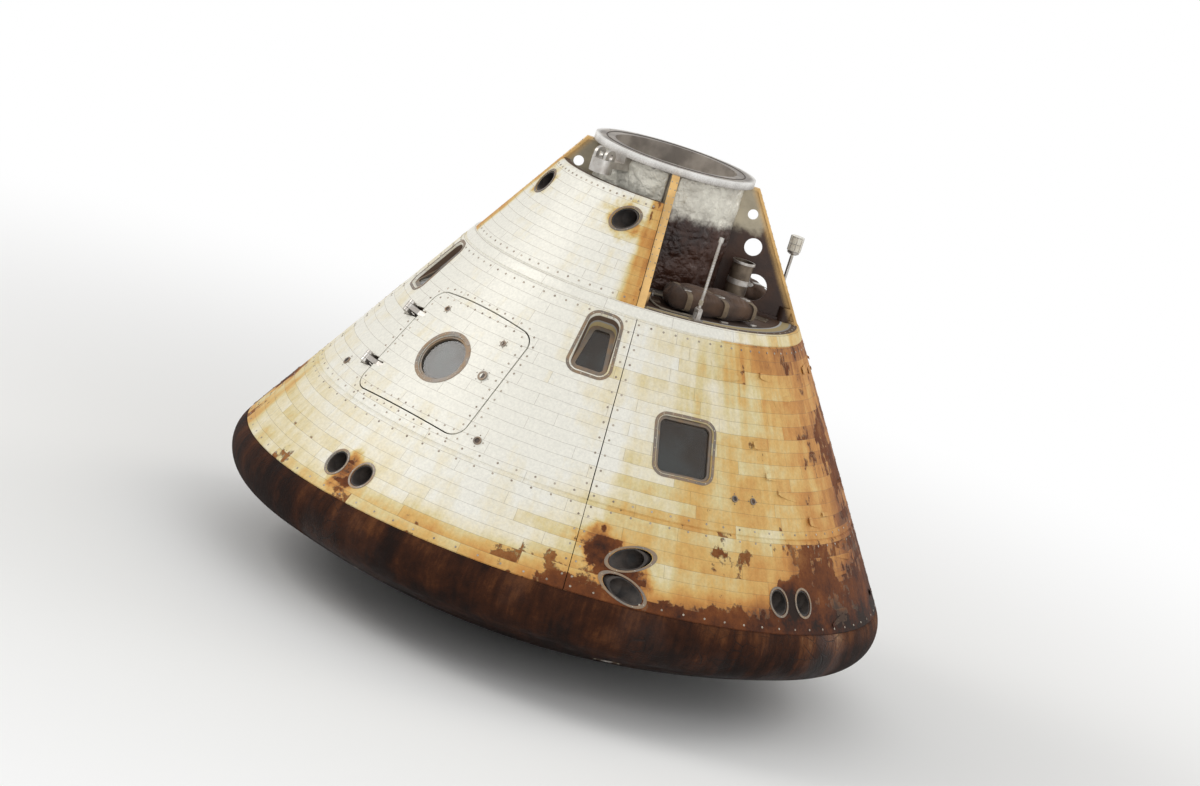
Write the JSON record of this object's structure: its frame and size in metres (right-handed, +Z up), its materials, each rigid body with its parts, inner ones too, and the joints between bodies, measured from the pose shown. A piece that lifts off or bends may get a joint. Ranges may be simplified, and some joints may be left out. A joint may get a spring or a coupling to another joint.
{
  "type": "space capsule",
  "caption": "Conical crewed space capsule after re-entry, nose cover gone, with a dished heat shield, hinged side hatch, windows, thruster ports and a docking tunnel.",
  "frame": {"origin": "lowest point of the aft heat shield, on the capsule's axis", "axes": "+Z up the capsule's axis, the side hatch faces -Y, +X is the crew's right"},
  "size_m": [3.9117, 3.9118, 2.8549],
  "materials": {
    "char": "charred ablator",
    "pad": "scorched composite",
    "foil": "silvered tape, cream to scorched gold",
    "scorched_foil": "silvered tape scorched to orange brown",
    "metal": "bare machined aluminium",
    "deck": "sooted paint",
    "bell": "sooted ceramic liner",
    "plate": "dull black",
    "window_frame": "sooted grey",
    "glass": "heat glass",
    "steel": "steel",
    "bag": "packed fabric",
    "couch": "woven couch cloth",
    "lamp": "clear lamp cover",
    "cabinet": "grey paint"
  },
  "bodies": {
    "capsule": {"aft_heat_shield": "char", "shear_pads": "pad", "lower_panel_hatch_side": "foil", "lower_panel_right": "scorched_foil", "lower_panel_rear": "scorched_foil", "lower_panel_left": "scorched_foil", "cabin_wall_hatch_side": "foil", "cabin_wall_right": "foil", "cabin_wall_rear": "scorched_foil", "cabin_wall_left": "foil", "cabin_tub": "metal", "forward_ring": "foil", "forward_deck": "deck", "docking_tunnel": "metal", "gussets": "deck", "engine_panel": "foil", "pitch_engines_lower": "bell", "yaw_engines": "bell", "roll_engines": "bell", "pitch_engines_upper": "bell", "optics_port": "plate", "umbilical_plate": "plate", "side_window_frames": "window_frame", "side_window_panes": "glass", "forward_window_frames": "window_frame", "forward_window_panes": "glass", "hatch_frame": "metal", "hinge_lugs": "steel", "drogue_mortars": "metal", "pilot_mortars": "metal", "riser_anchor": "steel", "righting_bags": "bag", "mast_brackets": "steel", "couch_pads": "couch", "couch_frame": "steel", "main_console": "cabinet", "equipment_racks": "cabinet"},
    "side_hatch": {"hatch_shell": "foil", "hatch_window_frame": "window_frame", "hatch_window_pane": "glass", "hatch_latches": "steel", "hatch_straps": "steel"},
    "tunnel_hatch": {"tunnel_hatch": "metal"},
    "antenna_right": {"antenna_right": "steel"},
    "antenna_left": {"antenna_left": "steel"},
    "beacon_mast": {"beacon_mast": "lamp"}
  },
  "joints": [
    {"name": "side_hatch_hinge", "type": "hinge", "parent": "capsule", "child": "side_hatch", "pos_m": [-0.495, -1.32756, 1.49739], "axis": [0, -0.5446, -0.8387], "range_deg": [0, 105]},
    {"name": "tunnel_hatch_slide", "type": "slide", "parent": "capsule", "child": "tunnel_hatch", "axis": [0, 0, -1], "range_m": [0, 0.78]},
    {"name": "antenna_right_hinge", "type": "hinge", "parent": "capsule", "child": "antenna_right", "pos_m": [0.82676, -0.3681, 2.17889], "axis": [-0.9781, 0.2079, 0], "range_deg": [0, 85]},
    {"name": "antenna_left_hinge", "type": "hinge", "parent": "capsule", "child": "antenna_left", "pos_m": [-0.82676, 0.3681, 2.17889], "axis": [0.9781, -0.2079, 0], "range_deg": [0, 85]},
    {"name": "beacon_mast_hinge", "type": "hinge", "parent": "capsule", "child": "beacon_mast", "pos_m": [0.3681, 0.82676, 2.17889], "axis": [-0.2079, -0.9781, 0], "range_deg": [0, 85]}
  ]
}
